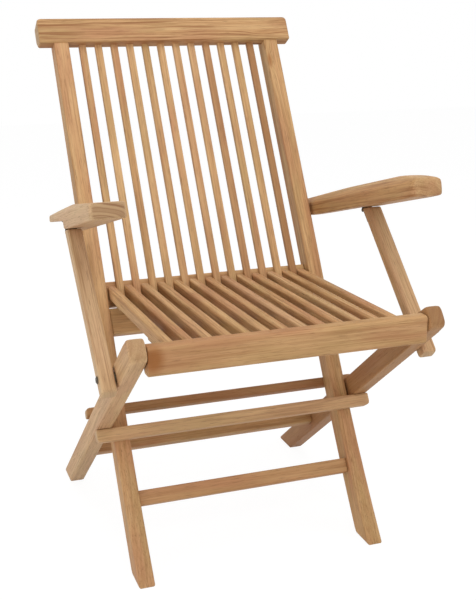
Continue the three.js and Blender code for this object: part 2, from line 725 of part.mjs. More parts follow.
// The arm's leaf and the knuckle, one piece of steel: a strap up to the rebate, and a plate under the wood.
function armLeaf(side) {
  const { at, along } = knuckle();
  const [inner, outer] = leafReach();
  const front = along - LEAF_THICKNESS / 2;
  const rear = along + LEAF_LENGTH;
  const frontTop = SEAT_GAP - rebateHeight(front);
  const rearTop = SEAT_GAP - rebateHeight(rear);
  const corners = [
    armUnderside(front, KNUCKLE_SPACE + KNUCKLE_RADIUS),
    armUnderside(front + LEAF_THICKNESS, KNUCKLE_SPACE + KNUCKLE_RADIUS),
    armUnderside(front + LEAF_THICKNESS, frontTop + LEAF_THICKNESS),
    armUnderside(rear, rearTop + LEAF_THICKNESS),
    armUnderside(rear, rearTop),
    armUnderside(front, frontTop),
  ];
  return onSide(side, shapeOf(corners), inner, outer).add(rod(KNUCKLE_RADIUS, at, side, inner, outer));
}

function postLeaf(side) {
  const { up } = knuckle();
  const [inner, outer] = leafReach();
  const high = up - KNUCKLE_RADIUS - KNUCKLE_SPACE;
  const low = high - LEAF_LENGTH;
  const near = POST_DEPTH / 2 + SEAT_GAP;
  const far = near + LEAF_THICKNESS;
  const corners = [onPost(high, near), onPost(low, near), onPost(low, far), onPost(high, far)];
  return onSide(side, shapeOf(corners), inner, outer);
}

function leafReach() {
  const middle = (POST_INNER + POST_OUTER) / 2;
  return [middle - LEAF_WIDTH / 2, middle + LEAF_WIDTH / 2];
}

// Bolts: most end inside the wood at both ends, with a washer in the space between two pieces

function hiddenBolt(at, side, inner, outer, space) {
  const [washerFrom, washerTo] = [space[0] + SEAT_GAP, space[1] - SEAT_GAP];
  const profile = [
    [0, inner],
    [BOLT_RADIUS, inner],
    [BOLT_RADIUS, washerFrom],
    [WASHER_RADIUS, washerFrom],
    [WASHER_RADIUS, washerTo],
    [BOLT_RADIUS, washerTo],
    [BOLT_RADIUS, outer],
    [0, outer],
  ];
  return turned(profile, at, side);
}

function crossingBolt(side) {
  const inner = STILE_INNER + STILE_COVER + BOLT_SHORT_OF;
  const outer = LEG_OUTER - LEG_COVER - BOLT_SHORT_OF;
  return hiddenBolt(CROSSING, side, inner, outer, [STILE_OUTER, LEG_INNER]);
}

function armBolt(side) {
  const inner = STILE_INNER + STILE_COVER + BOLT_SHORT_OF;
  const outer = ARM_INNER + ARM_BOLT_DEPTH - BOLT_SHORT_OF;
  return hiddenBolt(ARM_HINGE, side, inner, outer, [STILE_OUTER, ARM_INNER]);
}

// The post's foot is the pivot left open: its bolt stops at the washer, short of the leg it slides along.
function postBolt(side) {
  const washerFrom = LEG_OUTER + SEAT_GAP;
  const washerTo = POST_INNER - SEAT_GAP;
  const face = POST_OUTER + SEAT_GAP;
  const profile = [
    [0, washerFrom],
    [WASHER_RADIUS, washerFrom],
    [WASHER_RADIUS, washerTo],
    [BOLT_RADIUS, washerTo],
    [BOLT_RADIUS, face],
    [BOLT_HEAD_RADIUS, face],
    [BOLT_HEAD_RADIUS, face + BOLT_HEAD_EDGE],
    [BOLT_RADIUS, face + BOLT_HEAD_HEIGHT],
    [0, face + BOLT_HEAD_HEIGHT],
  ];
  return turned(profile, POST_FOOT, side);
}

// The seat hangs between the legs with too little space for a washer.
function seatBolt(side) {
  const inner = LEG_INNER - SEAT_RAIL_END_SPACE - HINGE_DEPTH_IN_RAIL + BOLT_SHORT_OF;
  return rod(BOLT_RADIUS, SEAT_HINGE, side, inner, LEG_OUTER - LEG_COVER - BOLT_SHORT_OF);
}

// Assembly

function build() {
  const group = new THREE.Group();
  const add = (name, body, colour, metalness) => group.add(meshOf(name, body, colour, metalness));
  add("top_rail", topRail(), woods.rail);
  add("lower_back_rail", lowerBackRail(), woods.rail);
  add("seat_support", seatSupport(), woods.rail);
  add("front_stop", frontStop(), woods.rail);
  add("rear_stop", rearStop(), woods.rail);
  add("lower_stretcher", lowerStretcher(), woods.rail);
  add("leg_stretcher", legStretcher(), woods.rail);
  add("seat_rail", seatRail(), woods.rail);
  add("front_batten", batten(FRONT_BATTEN_AT), woods.slat);
  add("rear_batten", batten(seatEnd(BATTEN_TOP) - REAR_BATTEN_FROM_END), woods.slat);
  for (let i = 0; i < BACK_SLAT_COUNT; i += 1) add(numbered("back_slat", i), backSlat(i), woods.slat);
  for (let i = 0; i < SEAT_SLAT_COUNT; i += 1) add(numbered("seat_slat", i), seatSlat(i), woods.slat);
  for (const [suffix, side] of [["left", -1], ["right", 1]]) {
    add("stile_" + suffix, stile(side), woods.stile);
    add("leg_" + suffix, leg(side), woods.leg);
    add("arm_" + suffix, arm(side), woods.arm);
    add("post_" + suffix, armPost(side), woods.leg);
    add("arm_leaf_" + suffix, armLeaf(side), STEEL, 1);
    add("post_leaf_" + suffix, postLeaf(side), STEEL, 1);
    add("crossing_bolt_" + suffix, crossingBolt(side), STEEL, 1);
    add("seat_bolt_" + suffix, seatBolt(side), STEEL, 1);
    add("arm_bolt_" + suffix, armBolt(side), STEEL, 1);
    add("post_bolt_" + suffix, postBolt(side), STEEL, 1);
  }
  return centred(group);
}

function numbered(name, index) {
  return name + "_" + String(index + 1).padStart(2, "0");
}

// Puts the middle of the footprint at the origin.
function centred(group) {
  const box = new THREE.Box3().setFromObject(group);
  const middle = box.getCenter(new THREE.Vector3());
  for (const mesh of group.children) mesh.geometry.translate(-middle.x, -middle.y, -box.min.z);
  return group;
}

export default build();
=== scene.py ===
"""The looks of a folding teak armchair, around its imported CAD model. Metres, +Z up; the sitter faces -Y."""
import json
import math
import random
from dataclasses import dataclass

import bpy
from mathutils import Matrix, Vector

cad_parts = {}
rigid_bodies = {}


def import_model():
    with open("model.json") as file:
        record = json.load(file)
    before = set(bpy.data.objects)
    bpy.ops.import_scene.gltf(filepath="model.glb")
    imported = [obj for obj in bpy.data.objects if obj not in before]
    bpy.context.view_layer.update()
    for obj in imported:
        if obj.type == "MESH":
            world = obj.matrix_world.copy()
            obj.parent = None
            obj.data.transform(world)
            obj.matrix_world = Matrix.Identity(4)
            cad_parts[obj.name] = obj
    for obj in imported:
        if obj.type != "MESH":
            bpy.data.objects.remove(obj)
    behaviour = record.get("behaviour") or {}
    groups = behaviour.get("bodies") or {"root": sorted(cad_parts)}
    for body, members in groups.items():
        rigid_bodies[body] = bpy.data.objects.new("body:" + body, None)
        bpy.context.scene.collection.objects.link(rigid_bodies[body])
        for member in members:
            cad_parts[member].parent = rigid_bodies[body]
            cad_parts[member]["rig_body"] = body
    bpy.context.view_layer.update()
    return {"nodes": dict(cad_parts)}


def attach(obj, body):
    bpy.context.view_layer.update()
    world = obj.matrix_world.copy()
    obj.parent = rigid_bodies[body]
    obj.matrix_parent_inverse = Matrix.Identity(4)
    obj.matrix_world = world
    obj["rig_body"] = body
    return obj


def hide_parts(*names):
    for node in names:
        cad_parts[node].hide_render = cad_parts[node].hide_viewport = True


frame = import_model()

MM = 0.001
NODES = frame["nodes"]

# The photograph's frame, in pixels, and the camera that was fitted to the chair's edges in it
PHOTO_WIDTH, PHOTO_HEIGHT = 476, 600
FOCAL_PIXELS = 997.8
AXIS_U, AXIS_V = 222.15, 329.57
CAMERA_AT = (-0.56606, -1.64084, 0.91227)
CAMERA_YAW, CAMERA_PITCH, CAMERA_ROLL = (math.radians(angle) for angle in (19.130, 17.738, -0.300))
SENSOR_MM = 36

# Rounding of the sharp edges
EDGE_SEGMENTS = 3
FLAT_ANGLE = math.radians(0.6)
SHARP_ANGLE = math.radians(28)
SMOOTH_ANGLE = math.radians(50)
FLAT_FACE_WEIGHT = 80  # how far large faces outweigh the rounding beside them in the shading
HOLE_RIM = 1.2 * MM  # the short edges round the bolts' holes stay sharp
MERGE_DISTANCE = 0.02 * MM
STEEL_EDGE = 0.4 * MM
WOOD_EDGE = 2.4 * MM
EDGES = {
    "back_slat": 1.5 * MM,
    "seat_slat": 4.0 * MM,
    "seat_rail": 2.0 * MM,
    "top_rail": 3.4 * MM,
    "stile": 3.0 * MM,
    "post": 3.0 * MM,
    "rear_batten": 1.2 * MM,
    "front_batten": 1.2 * MM,
}

# Rubbing with sandpaper: how often all over, then how often more at one end and how far back from its tip
RUB_GRID = 1.6 * MM
RUB_SHARE = 0.5
RUBS = 10
END_RUBS = {
    "arm_left": (20, 55 * MM),
    "arm_right": (80, 34 * MM),
    "leg_left": (45, 28 * MM),
    "leg_right": (70, 30 * MM),
}

# How the planks were sawn: distance from the heart of the tree, and places along the trunk
SEED = 41
HEART_NEAREST, HEART_FARTHEST = 35 * MM, 110 * MM
TRUNK_HALF = 1700 * MM
FAR_AWAY = 1000 * MM  # where a piece without a knot or a stain has them, out of reach
GRAIN_AHEAD = Vector((1, -1, 1))  # the grain is measured towards a piece's right, front or upper end


@dataclass
class Plank:
    """How a piece was sawn and how its wood looks."""
    depth: float = 0.0  # -1 pale, 1 dark
    redness: float = 0.1  # -1 olive, 1 rosy
    figure: float = 0.3  # 0 plain, 1 with bold rings
    turn: float = 0.0  # round the piece, from its width to the heart of the tree
    turn_spread: float = 0.6
    end_figure: float = 0.3
    end_depth: float = 0.2
    end_share: float = 0.85
    knot: tuple = ()
    knot_lift: float = 9 * MM
    knot_dark: float = 0.2
    stain: tuple = ()
    painted_gap_shade: float = 0.0  # painted shade of the gaps: how dark its sides get towards their foot
    spread: float = 0.12  # of its depth and redness among pieces alike


PLANKS = {
    "top_rail": Plank(depth=0.16, redness=0.0, figure=1.1, turn_spread=0.1,
                      knot=(0.1945, 0.299, 0.8707), knot_lift=7 * MM, knot_dark=0.15),
    "stile_left": Plank(depth=0.05, redness=0.35, figure=0.3),
    "stile_right": Plank(depth=0.05, redness=0.0, figure=0.5, turn_spread=0.2,
                         knot=(0.2014, 0.272, 0.8176), knot_lift=12 * MM, knot_dark=0.7),
    "back_slat": Plank(depth=0.05, redness=0.0, figure=0.35, spread=0.25),
    "back_slat_04": Plank(depth=-0.1, redness=0.0, figure=0.3),
    "back_slat_07": Plank(depth=-0.2, redness=-0.1, figure=0.3),
    "back_slat_09": Plank(depth=0.35, redness=0.5, figure=0.3),
    "back_slat_11": Plank(depth=-0.1, redness=0.2, figure=0.3),
    "back_slat_12": Plank(depth=0.65, redness=0.3, figure=0.4),
    # The seat slats' sides get painted shade, darkest at their foot, standing in for the shade deep in the
    # gaps between them
    "seat_slat": Plank(depth=-0.05, redness=0.1, figure=0.6, spread=0.3, painted_gap_shade=0.8),
    "seat_slat_01": Plank(depth=-0.15, redness=0.0, figure=0.5),
    "seat_slat_13": Plank(depth=0.0, redness=0.1, figure=0.4),
    "seat_rail": Plank(depth=0.16, redness=0.2, figure=0.3, turn_spread=0.2,
                       stain=(-0.219, -0.339, 0.437)),
    "arm_left": Plank(depth=-0.75, redness=-0.1, figure=0.12, turn=1.4, turn_spread=0.1,
                      end_depth=0.5, end_figure=1.0),
    "arm_right": Plank(depth=0.12, redness=0.1, figure=0.7, turn=1.2, turn_spread=0.1,
                       end_depth=0.6, end_figure=0.6, end_share=0.3),
    "leg_left": Plank(depth=-0.5, redness=0.0, figure=0.2,
                      end_depth=0.8, end_figure=0.35, end_share=0.6),
    "leg_right": Plank(depth=0.65, redness=0.35, figure=0.25,
                       end_depth=1.0, end_figure=0.5, end_share=0.7),
    "leg_stretcher": Plank(depth=0.32, redness=0.3, figure=0.5),
    "rear_stop": Plank(depth=0.6, redness=0.3, figure=0.6),
    "front_stop": Plank(depth=-0.35, redness=0.1, figure=0.25),
    "lower_stretcher": Plank(depth=0.2, redness=0.6, figure=0.2),
    "lower_back_rail": Plank(depth=0.1, redness=0.1, figure=0.3),
    "post": Plank(depth=-0.35, redness=0.1, figure=0.45),
    "post_left": Plank(depth=-0.6, redness=0.1, figure=0.5),
    # The battens are darkened as painted shade: their ends lie in the shade under the seat
    "front_batten": Plank(depth=0.6),
    "rear_batten": Plank(depth=0.6),
}

# The left arm's top, planed lower than the right one's at its front end
NOSE_PLANE_AT = (-0.286, -0.2725, 0.6565)
NOSE_PLANE_FACING = (0, 0.185, 0.983)

# What is sawn off a batten at each end, so that it doesn't show under the outer slats
BATTEN_TRIM = 8 * MM

# The top rail, planed lower than its blank; the stiles and slats reach up into it
RAIL_TRIM = 6.0 * MM
RAIL_SLOPE = 12.0 * MM
END_LAYER = 30.0 * MM


# Modelling

def select_only(piece):
    """Makes this piece the only one that operators act on."""
    bpy.ops.object.select_all(action="DESELECT")
    piece.select_set(True)
    bpy.context.view_layer.objects.active = piece


def copy_of(node, name):
    """A piece with its own copy of a CAD node's mesh, its triangles merged back into flat faces."""
    piece = bpy.data.objects.new(name, NODES[node].data.copy())
    bpy.context.scene.collection.objects.link(piece)
    piece.data.materials.clear()
    select_only(piece)
    bpy.ops.object.mode_set(mode="EDIT")
    bpy.ops.mesh.select_all(action="SELECT")
    bpy.ops.mesh.remove_doubles(threshold=MERGE_DISTANCE)
    bpy.ops.mesh.dissolve_limited(angle_limit=FLAT_ANGLE)
    bpy.ops.object.mode_set(mode="OBJECT")
    return piece


def apply_modifier(piece, kind, **settings):
    """Adds one modifier with these settings and applies it."""
    select_only(piece)
    modifier = piece.modifiers.new(kind.title(), kind)
    for name, value in settings.items():
        setattr(modifier, name, value)
    bpy.ops.object.modifier_apply(modifier=modifier.name)


def box_of(points):
    """The lowest and highest corner of some points."""
    return tuple(Vector([pick(point[axis] for point in points) for axis in range(3)]) for pick in (min, max))


def longest_edge(mesh):
    """The direction of a mesh's longest edge, which a board's grain follows."""
    def span(edge):
        first, second = (mesh.vertices[i].co for i in edge.vertices)
        return second - first
    return max((span(edge) for edge in mesh.edges), key=lambda line: line.length).normalized()


def weigh_edges(mesh):
    """Marks the sharp edges that are rounded."""
    normals = {}
    for face in mesh.polygons:
        for key in face.edge_keys:
            normals.setdefault(key, []).append(face.normal)
    weights = mesh.attributes.new("bevel_weight_edge", "FLOAT", "EDGE")
    for edge, weight in zip(mesh.edges, weights.data):
        sides = normals[edge.key]
        sharp = len(sides) == 2 and sides[0].angle(sides[1]) > SHARP_ANGLE
        first, second = (mesh.vertices[i].co for i in edge.vertices)
        if sharp and (second - first).length > HOLE_RIM:
            weight.value = 1


def round_edges(piece, width):
    """Rounds every sharp edge, and shades the piece so that its flat faces stay flat."""
    weigh_edges(piece.data)
    apply_modifier(piece, "BEVEL", width=width, segments=EDGE_SEGMENTS, limit_method="WEIGHT",
                   use_clamp_overlap=False, miter_outer="MITER_SHARP")
    select_only(piece)
    bpy.ops.object.shade_smooth_by_angle(angle=SMOOTH_ANGLE)
    apply_modifier(piece, "WEIGHTED_NORMAL", mode="FACE_AREA", weight=FLAT_FACE_WEIGHT, keep_sharp=True)


def rub_smooth(piece, along, end_rubs, reach):
    """Rounds a piece all over, and the end that its grain runs to the most."""
    apply_modifier(piece, "REMESH", mode="VOXEL", voxel_size=RUB_GRID, adaptivity=0)
    apply_modifier(piece, "SMOOTH", factor=RUB_SHARE, iterations=RUBS)
    places = [vertex.co.dot(along) for vertex in piece.data.vertices]
    tip = max(places)
    end = piece.vertex_groups.new(name="end")
    for index, place in enumerate(places):
        end.add([index], max(0, 1 - (tip - place) / reach), "REPLACE")
    apply_modifier(piece, "SMOOTH", factor=RUB_SHARE, iterations=end_rubs, vertex_group=end.name)
    select_only(piece)
    bpy.ops.object.shade_smooth()


def cut_away(piece, place, facing):
    """Planes or saws off what lies beyond a plane."""
    select_only(piece)
    bpy.ops.object.mode_set(mode="EDIT")
    bpy.ops.mesh.select_all(action="SELECT")
    bpy.ops.mesh.bisect(plane_co=place, plane_no=facing, use_fill=True, clear_outer=True)
    bpy.ops.object.mode_set(mode="OBJECT")


def trim_top_rail(piece):
    """Planes the top rail's underside, and slopes its lower rear edge."""
    behind = max(piece.data.polygons, key=lambda face: face.area).normal.copy()
    behind = behind if behind.y > 0 else -behind
    up = behind.cross(Vector((-1, 0, 0)))
    points = [vertex.co for vertex in piece.data.vertices]
    low = min(point.dot(up) for point in points) + RAIL_TRIM
    back = max(point.dot(behind) for point in points) - RAIL_SLOPE
    corner = up * low + behind * back
    cut_away(piece, corner, -up)
    cut_away(piece, corner, behind - up)


def lengthen(piece, up):
    """Moves a stile's or slat's upper end up into the planed top rail."""
    mesh = piece.data
    top = max(vertex.co.dot(up) for vertex in mesh.vertices)
    for part in (*mesh.edges, *mesh.polygons):
        part.select = False
    for vertex in mesh.vertices:
        vertex.select = vertex.co.dot(up) > top - END_LAYER
    select_only(piece)
    bpy.ops.object.mode_set(mode="EDIT")
    bpy.ops.transform.translate(value=up * (RAIL_TRIM + RAIL_SLOPE))
    bpy.ops.object.mode_set(mode="OBJECT")


def saw_ends(piece):
    """Saws a batten shorter at both ends."""
    low, high = box_of([vertex.co for vertex in piece.data.vertices])
    for end, side in ((low.x, -1), (high.x, 1)):
        cut_away(piece, (end - side * BATTEN_TRIM, 0, 0), (side, 0, 0))


def trim(piece, node, along):
    """Cuts or lengthens the few pieces that were finished otherwise than their solids."""
    if node == "arm_left":
        cut_away(piece, NOSE_PLANE_AT, NOSE_PLANE_FACING)
    elif node == "top_rail":
        trim_top_rail(piece)
    elif "batten" in node:
        saw_ends(piece)
    elif node.startswith(("stile", "back_slat")):
        lengthen(piece, along)


# Grain

def grain_frame(along):
    """The grain's direction, then across and through the plank."""
    spare = min((Vector((1, 0, 0)), Vector((0, 0, 1))), key=lambda axis: abs(axis.dot(along)))
    across = (spare - along * spare.dot(along)).normalized()
    return along, across, along.cross(across)


def in_frame(axes, offset):
    """An offset measured along the grain's three directions."""
    return Vector([offset.dot(axis) for axis in axes])


def store(mesh, name, values):
    """Stores one vector per point."""
    layer = mesh.attributes.new(name, "FLOAT_VECTOR", "POINT")
    for place, value in zip(layer.data, values):
        place.vector = value


def heart_offset(plank, draw):
    """Where the middle of a piece lies, measured from the heart of the tree."""
    away = draw.uniform(HEART_NEAREST, HEART_FARTHEST)
    turn = plank.turn + draw.uniform(-plank.turn_spread, plank.turn_spread)
    start = draw.uniform(-TRUNK_HALF, TRUNK_HALF)
    return Vector((start, away * math.cos(turn), away * math.sin(turn)))


def lay_grain(mesh, axes, plank, draw):
    """Stores where each point lies in its plank, and from its knot and its stain."""
    points = [vertex.co for vertex in mesh.vertices]
    low, high = box_of(points)
    middle = (low + high) / 2
    heart = heart_offset(plank, draw)
    nowhere = middle + Vector((FAR_AWAY, FAR_AWAY, FAR_AWAY))
    knot = Vector(plank.knot) if plank.knot else nowhere
    stain = Vector(plank.stain) if plank.stain else nowhere
    store(mesh, "grain", [heart + in_frame(axes, point - middle) for point in points])
    store(mesh, "knot", [in_frame(axes, point - knot) for point in points])
    store(mesh, "stain", [point - stain for point in points])


def lay_tones(mesh, plank, draw):
    """Stores the plank's own tone, and how its ends and its knot look."""
    tones = {
        "tone": (plank.depth + draw.uniform(-plank.spread, plank.spread),
                 plank.redness + draw.uniform(-plank.spread, plank.spread), plank.figure),
        "end_tone": (plank.end_depth, plank.end_figure, plank.end_share),
        "knot_tone": (plank.knot_lift, plank.knot_dark, 0),
    }
    for name, tone in tones.items():
        store(mesh, name, [tone] * len(mesh.vertices))


def lay_ends(mesh, axes, plank):
    """Stores which faces show end grain, and the painted shade of the gaps on the sides, darkest at their
    foot.
    """
    up = axes[2] if axes[2].z > 0 else -axes[2]
    heights = [vertex.co.dot(up) for vertex in mesh.vertices]
    top, depth = max(heights), max(heights) - min(heights)
    end = mesh.attributes.new("end_grain", "FLOAT", "CORNER")
    painted_gap_shade = mesh.attributes.new("painted_gap_shade", "FLOAT", "CORNER")
    for face in mesh.polygons:
        side = abs(face.normal.dot(axes[1]))
        for corner, index in zip(face.loop_indices, face.vertices):
            end.data[corner].value = abs(face.normal.dot(axes[0]))
            # Painted shade: each side darkens towards its foot, as the gaps between the slats lie in shade
            painted_gap_shade.data[corner].value = plank.painted_gap_shade * side * (top - heights[index]) / depth


# Materials

class Signal:
    """A shader socket. Python's signs on it add Math nodes."""

    def __init__(self, shader, socket):
        self.shader = shader
        self.socket = socket

    def math(self, operation, *values):
        """A Math node on these values."""
        return self.shader.add("ShaderNodeMath", {"operation": operation}, dict(enumerate(values)))

    def __add__(self, other):
        return self.math("ADD", self, other)

    def __radd__(self, other):
        return self.math("ADD", other, self)

    def __sub__(self, other):
        return self.math("SUBTRACT", self, other)

    def __rsub__(self, other):
        return self.math("SUBTRACT", other, self)

    def __mul__(self, other):
        return self.math("MULTIPLY", self, other)

    def __rmul__(self, other):
        return self.math("MULTIPLY", other, self)

    def __truediv__(self, other):
        return self.math("DIVIDE", self, other)

    def __rtruediv__(self, other):
        return self.math("DIVIDE", other, self)

    def __pow__(self, other):
        return self.math("POWER", self, other)

    def larger(self, other):
        return self.math("MAXIMUM", self, other)


class Shader:
    """The nodes of a material or a world, written as expressions."""

    def __init__(self, owner):
        self.owner = owner
        owner.use_nodes = True
        self.tree = owner.node_tree
        self.tree.nodes.clear()

    def add(self, kind, settings=None, inputs=None, output=0):
        """Adds a node: first its settings, then its sockets' values or links."""
        node = self.tree.nodes.new(kind)
        for name, value in (settings or {}).items():
            setattr(node, name, value)
        for name, value in (inputs or {}).items():
            if isinstance(value, Signal):
                self.tree.links.new(value.socket, node.inputs[name])
            else:
                node.inputs[name].default_value = value
        return Signal(self, node.outputs[output])

    def attribute(self, name, output):
        """What a mesh stores under this name."""
        return self.add("ShaderNodeAttribute", {"attribute_name": name}, {}, output)

    def mix(self, share, first, second):
        """One colour over another, by a share."""
        return self.add("ShaderNodeMix", {"data_type": "RGBA", "clamp_factor": True},
                        {0: share, 6: first, 7: second}, 2)

    def smooth(self, value, low, high):
        """0 below low, 1 above high, and a soft step between them."""
        return self.add("ShaderNodeMapRange", {"interpolation_type": "SMOOTHSTEP"},
                        {"Value": value, "From Min": low, "From Max": high})

    def wash(self, base, pattern, wash):
        """A colour laid over the base where a pattern rises through the wash's step."""
        return self.mix(self.smooth(pattern, *wash.step) * wash.share, base, wash.tint)

    def stretched(self, vector, scale):
        """A vector with each part multiplied."""
        return self.add("ShaderNodeVectorMath", {"operation": "MULTIPLY"}, {0: vector, 1: scale})

    def parts(self, vector):
        """A vector's three parts."""
        split = self.add("ShaderNodeSeparateXYZ", {}, {"Vector": vector}).socket.node
        return [Signal(self, socket) for socket in split.outputs]

    def joined(self, first, second):
        """A vector from two values."""
        return self.add("ShaderNodeCombineXYZ", {}, {"X": first, "Y": second})

    def length(self, vector):
        """How long a vector is."""
        return self.add("ShaderNodeVectorMath", {"operation": "LENGTH"}, {0: vector}, "Value")

    def noise(self, vector, scale=1, detail=2, roughness=0.5):
        """A soft random pattern, about 0.5."""
        return self.add("ShaderNodeTexNoise", {"noise_dimensions": "3D"},
                        {"Vector": vector, "Scale": scale, "Detail": detail, "Roughness": roughness})

    def close(self, output, surface):
        """Ends the tree with the output node of this kind."""
        self.tree.links.new(surface.socket, self.tree.nodes.new(output).inputs["Surface"])
        return self.owner


def colour(red, green, blue):
    """A colour as it shows on the screen, 0 to 255, made ready for a shader."""
    def linear(value):
        share = value / 255
        return share / 12.92 if share <= 0.04045 else ((share + 0.055) / 1.055) ** 2.4
    return (linear(red), linear(green), linear(blue), 1)


@dataclass
class Wash:
    """A thin colour over the wood: where a pattern starts it and completes it, and how much it covers."""
    step: tuple
    share: float
    tint: tuple


HONEY = colour(200, 154, 104)
STRAW = colour(214, 174, 123)
ROSE = colour(188, 134, 94)
OLIVE = colour(178, 144, 92)
RING_BROWN = colour(146, 98, 56)
DEEP_BROWN = colour(138, 92, 49)
PALE = colour(216, 186, 148)
END_PALE = colour(204, 172, 132)
END_DARK = colour(148, 108, 67)
END_BROWN = colour(128, 86, 52)
PORE_BROWN = colour(108, 70, 42)
STAIN_BROWN = colour(150, 92, 40)
# The painted shade deep in the gaps between the seat slats
GAP_SHADE_BROWN = colour(70, 44, 26)

# Growth rings: their width, how soon one breaks off along the grain, and how they wander and ripple
RING_WIDTH = 3.4 * MM
RING_BREAKS = 5
RING_STEP = (0.46, 0.66)
RING_LEAST_SHARE, RING_FIGURE_SHARE = 0.12, 0.66
RING_FAINTEST_SHARE = 0.35
NOISE_MIDDLE = 0.5
WANDER = 16 * MM
WANDER_STRETCH = (3.2, 18, 18)
WANDER_ROUGHNESS = 0.45
RIPPLE = 1.6 * MM
RIPPLE_STRETCH = (9, 60, 60)
STRENGTH_STRETCH = (6, 70, 70)
STRENGTH_STEP = (0.3, 0.7)

# Streaks and pores along the grain
STREAK_STRETCH = (9, 520, 520)
STREAK_DETAIL, STREAK_ROUGHNESS = 3, 0.6
STREAK_STEP = (0.45, 0.70)
STREAK_LEAST_SHARE, STREAK_FIGURE_SHARE = 0.28, 0.36
PORE_STRETCH = (38, 1300, 1300)
PORE_STEP = (0.60, 0.74)
PORE_SHARE = 0.6

# The plain wood between them: broad bands, then washes that vary over a plank or belong to all of it
BAND_STRETCH = (1.4, 120, 120)
BAND_STEP = (0.32, 0.68)
CLOUD_STRETCH = (7, 38, 38)
BLUSH_STRETCH = (5, 30, 30)
CLOUDS = Wash((0.40, 0.66), 0.6, OLIVE)
BLUSHES = Wash((0.44, 0.68), 0.75, ROSE)
ROSY = Wash((0, 1), 0.75, ROSE)
OLIVE_GREEN = Wash((0, 1), 0.5, OLIVE)
DARK = Wash((0, 1), 0.75, DEEP_BROWN)
BLEACHED = Wash((0, 1), 0.8, PALE)

# End grain, knots, the stain and the painted shade in the gaps between the seat slats
END_STEP = (0.50, 0.95)
ARC_WIDTH = 3.6 * MM
ARC_STEP = (0.42, 0.60)
KNOT_STRETCH = (0.30, 1.0, 0.6)
KNOT_REACH = 11 * MM
KNOT_STEP = (0.55, 1.0)
STAIN_STRETCH = (1, 0.3, 0.8)
STAIN_CORE, STAIN_RIM = 6 * MM, 24 * MM
STAIN_SHARE = 0.9
# How the painted shade gathers towards the foot of the sides
GAP_SHADE_POWER = 2

# The oiled surface
STREAK_RELIEF, PORE_RELIEF, RING_RELIEF = 0.6, 0.5, 0.25
TEAK_BUMP, TEAK_BUMP_DEPTH = 0.25, 0.6 * MM
TEAK_ROUGHNESS, STREAK_ROUGHENING, PORE_ROUGHENING = 0.52, 0.14, 0.1
TEAK_SHINE = 0.32


def plain_teak(shader, grain, depth, redness):
    """The wood's colour between its rings and streaks."""
    bands = shader.noise(shader.stretched(grain, BAND_STRETCH))
    clouds = shader.noise(shader.stretched(grain, CLOUD_STRETCH))
    blushes = shader.noise(shader.stretched(grain, BLUSH_STRETCH))
    base = shader.mix(shader.smooth(bands, *BAND_STEP), HONEY, STRAW)
    base = shader.wash(base, clouds, CLOUDS)
    base = shader.wash(base, blushes, BLUSHES)
    base = shader.wash(base, redness, ROSY)
    base = shader.wash(base, -1 * redness, OLIVE_GREEN)
    base = shader.wash(base, depth, DARK)
    return shader.wash(base, -1 * depth, BLEACHED)


def ring_radius(shader, grain, knot_bend):
    """How far from the heart a point grew, where rings wander, ripple and bend round a knot."""
    lengthwise, beside, below = shader.parts(grain)
    wander = shader.noise(shader.stretched(grain, WANDER_STRETCH), roughness=WANDER_ROUGHNESS) - NOISE_MIDDLE
    ripple = shader.noise(shader.stretched(grain, RIPPLE_STRETCH), detail=1) - NOISE_MIDDLE
    radius = (beside * beside + below * below) ** 0.5 + wander * WANDER + ripple * RIPPLE + knot_bend
    return lengthwise, radius


def end_colour(shader, lengthwise, radius, end_depth, end_figure):
    """The end grain, with arcs of the growth rings."""
    arcs = shader.noise(shader.joined(radius / ARC_WIDTH, lengthwise))
    ends = shader.mix(end_depth, END_PALE, END_DARK)
    return shader.mix(shader.smooth(arcs, *ARC_STEP) * end_figure, ends, END_BROWN)


def marked(shader, base, knot, knot_dark):
    """The base with its knot, its stain and the painted shade on its sides."""
    stain = shader.length(shader.stretched(shader.attribute("stain", "Vector"), STAIN_STRETCH))
    painted_gap_shade = shader.attribute("painted_gap_shade", "Fac") ** GAP_SHADE_POWER
    base = shader.mix(shader.smooth(knot, *KNOT_STEP) * knot_dark, base, STAIN_BROWN)
    base = shader.mix((1 - shader.smooth(stain, STAIN_CORE, STAIN_RIM)) * STAIN_SHARE, base, STAIN_BROWN)
    # Painted shade on the sides, darkest at their foot
    return shader.mix(painted_gap_shade, base, GAP_SHADE_BROWN)


